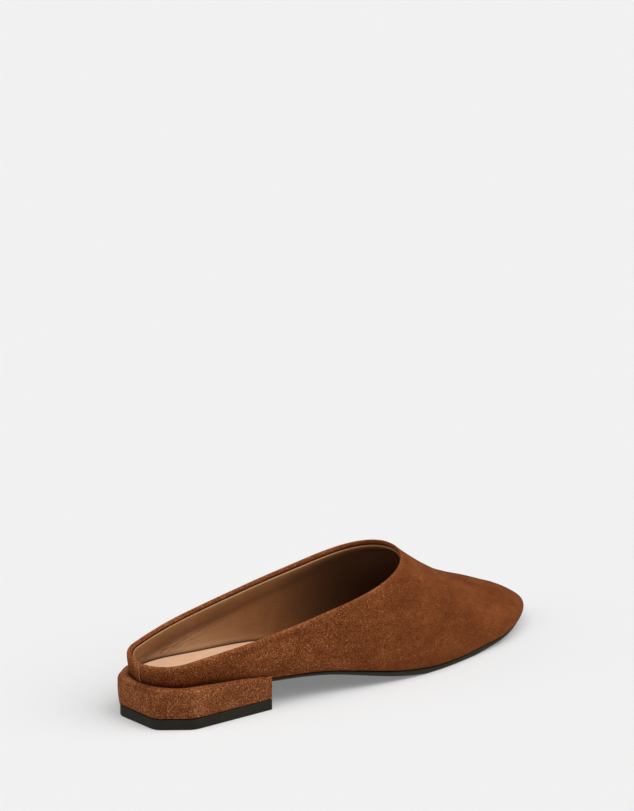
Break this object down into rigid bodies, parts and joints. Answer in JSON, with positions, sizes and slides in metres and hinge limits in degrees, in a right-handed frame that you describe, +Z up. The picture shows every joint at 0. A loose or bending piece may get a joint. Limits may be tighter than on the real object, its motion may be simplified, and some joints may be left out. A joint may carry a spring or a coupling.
{
  "type": "mule shoe",
  "caption": "Right slip-on mule with a closed tapered toe, a low rim round the heel, a thin curved sole and a low covered block heel. Holds a foot pushed in from the back.",
  "frame": {"origin": "on the floor straight below the back point of the last, on the heel lift's underside", "axes": "+X from heel to toe, +Y to the wearer's left, which is the inner side of this right shoe, +Z up from the floor"},
  "size_m": [0.2594, 0.0806, 0.0587],
  "materials": {
    "suede": "brown suede with a short, brushed nap",
    "insole_leather": "smooth tan leather, satin",
    "sole_rubber": "dark, matte, trimmed edge",
    "heel_suede": "brown suede wrapped over a block",
    "lift_rubber": "dark, satin, moulded",
    "lining_leather": "smooth brown lining leather, satin"
  },
  "bodies": {
    "root": {"upper": "suede", "insole": "insole_leather", "outsole": "sole_rubber", "heel_block": "heel_suede", "heel_lift": "lift_rubber"}
  },
  "joints": []
}
